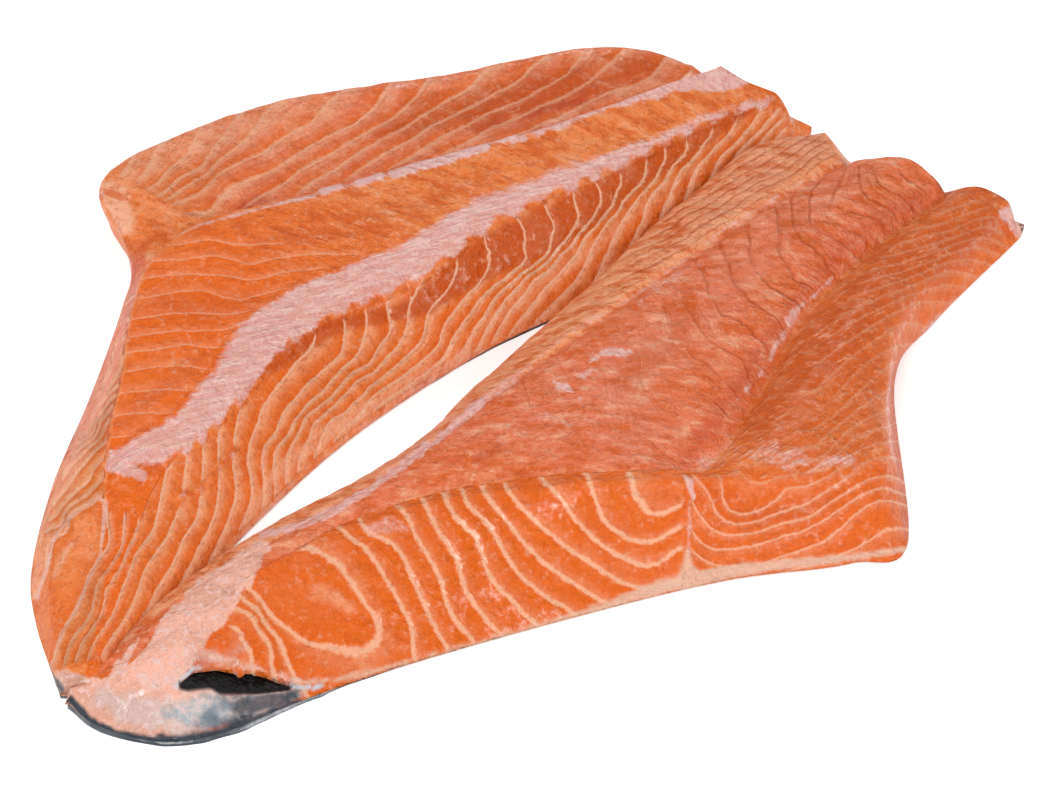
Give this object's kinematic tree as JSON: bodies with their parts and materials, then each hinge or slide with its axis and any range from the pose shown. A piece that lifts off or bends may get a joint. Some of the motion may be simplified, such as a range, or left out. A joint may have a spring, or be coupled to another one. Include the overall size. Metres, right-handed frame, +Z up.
{
  "type": "salmon tail",
  "caption": "Raw salmon tail opened into fillets that stay joined at the tail, lying skin down with flaked cut faces.",
  "frame": {"origin": "centre of the underside of the bounding box, on the surface that the fish lies on", "axes": "+Z up from the skin to the flesh; the joined tail end points to -X and -Y, and the fillets open to +X and +Y"},
  "size_m": [0.2622, 0.2574, 0.0281],
  "materials": {
    "flesh": "moist raw orange-pink fish flesh with pale fat lines",
    "skin": "wet dark silver-grey fish skin"
  },
  "bodies": {
    "root": {"salmon_tail": "flesh"}
  },
  "joints": []
}
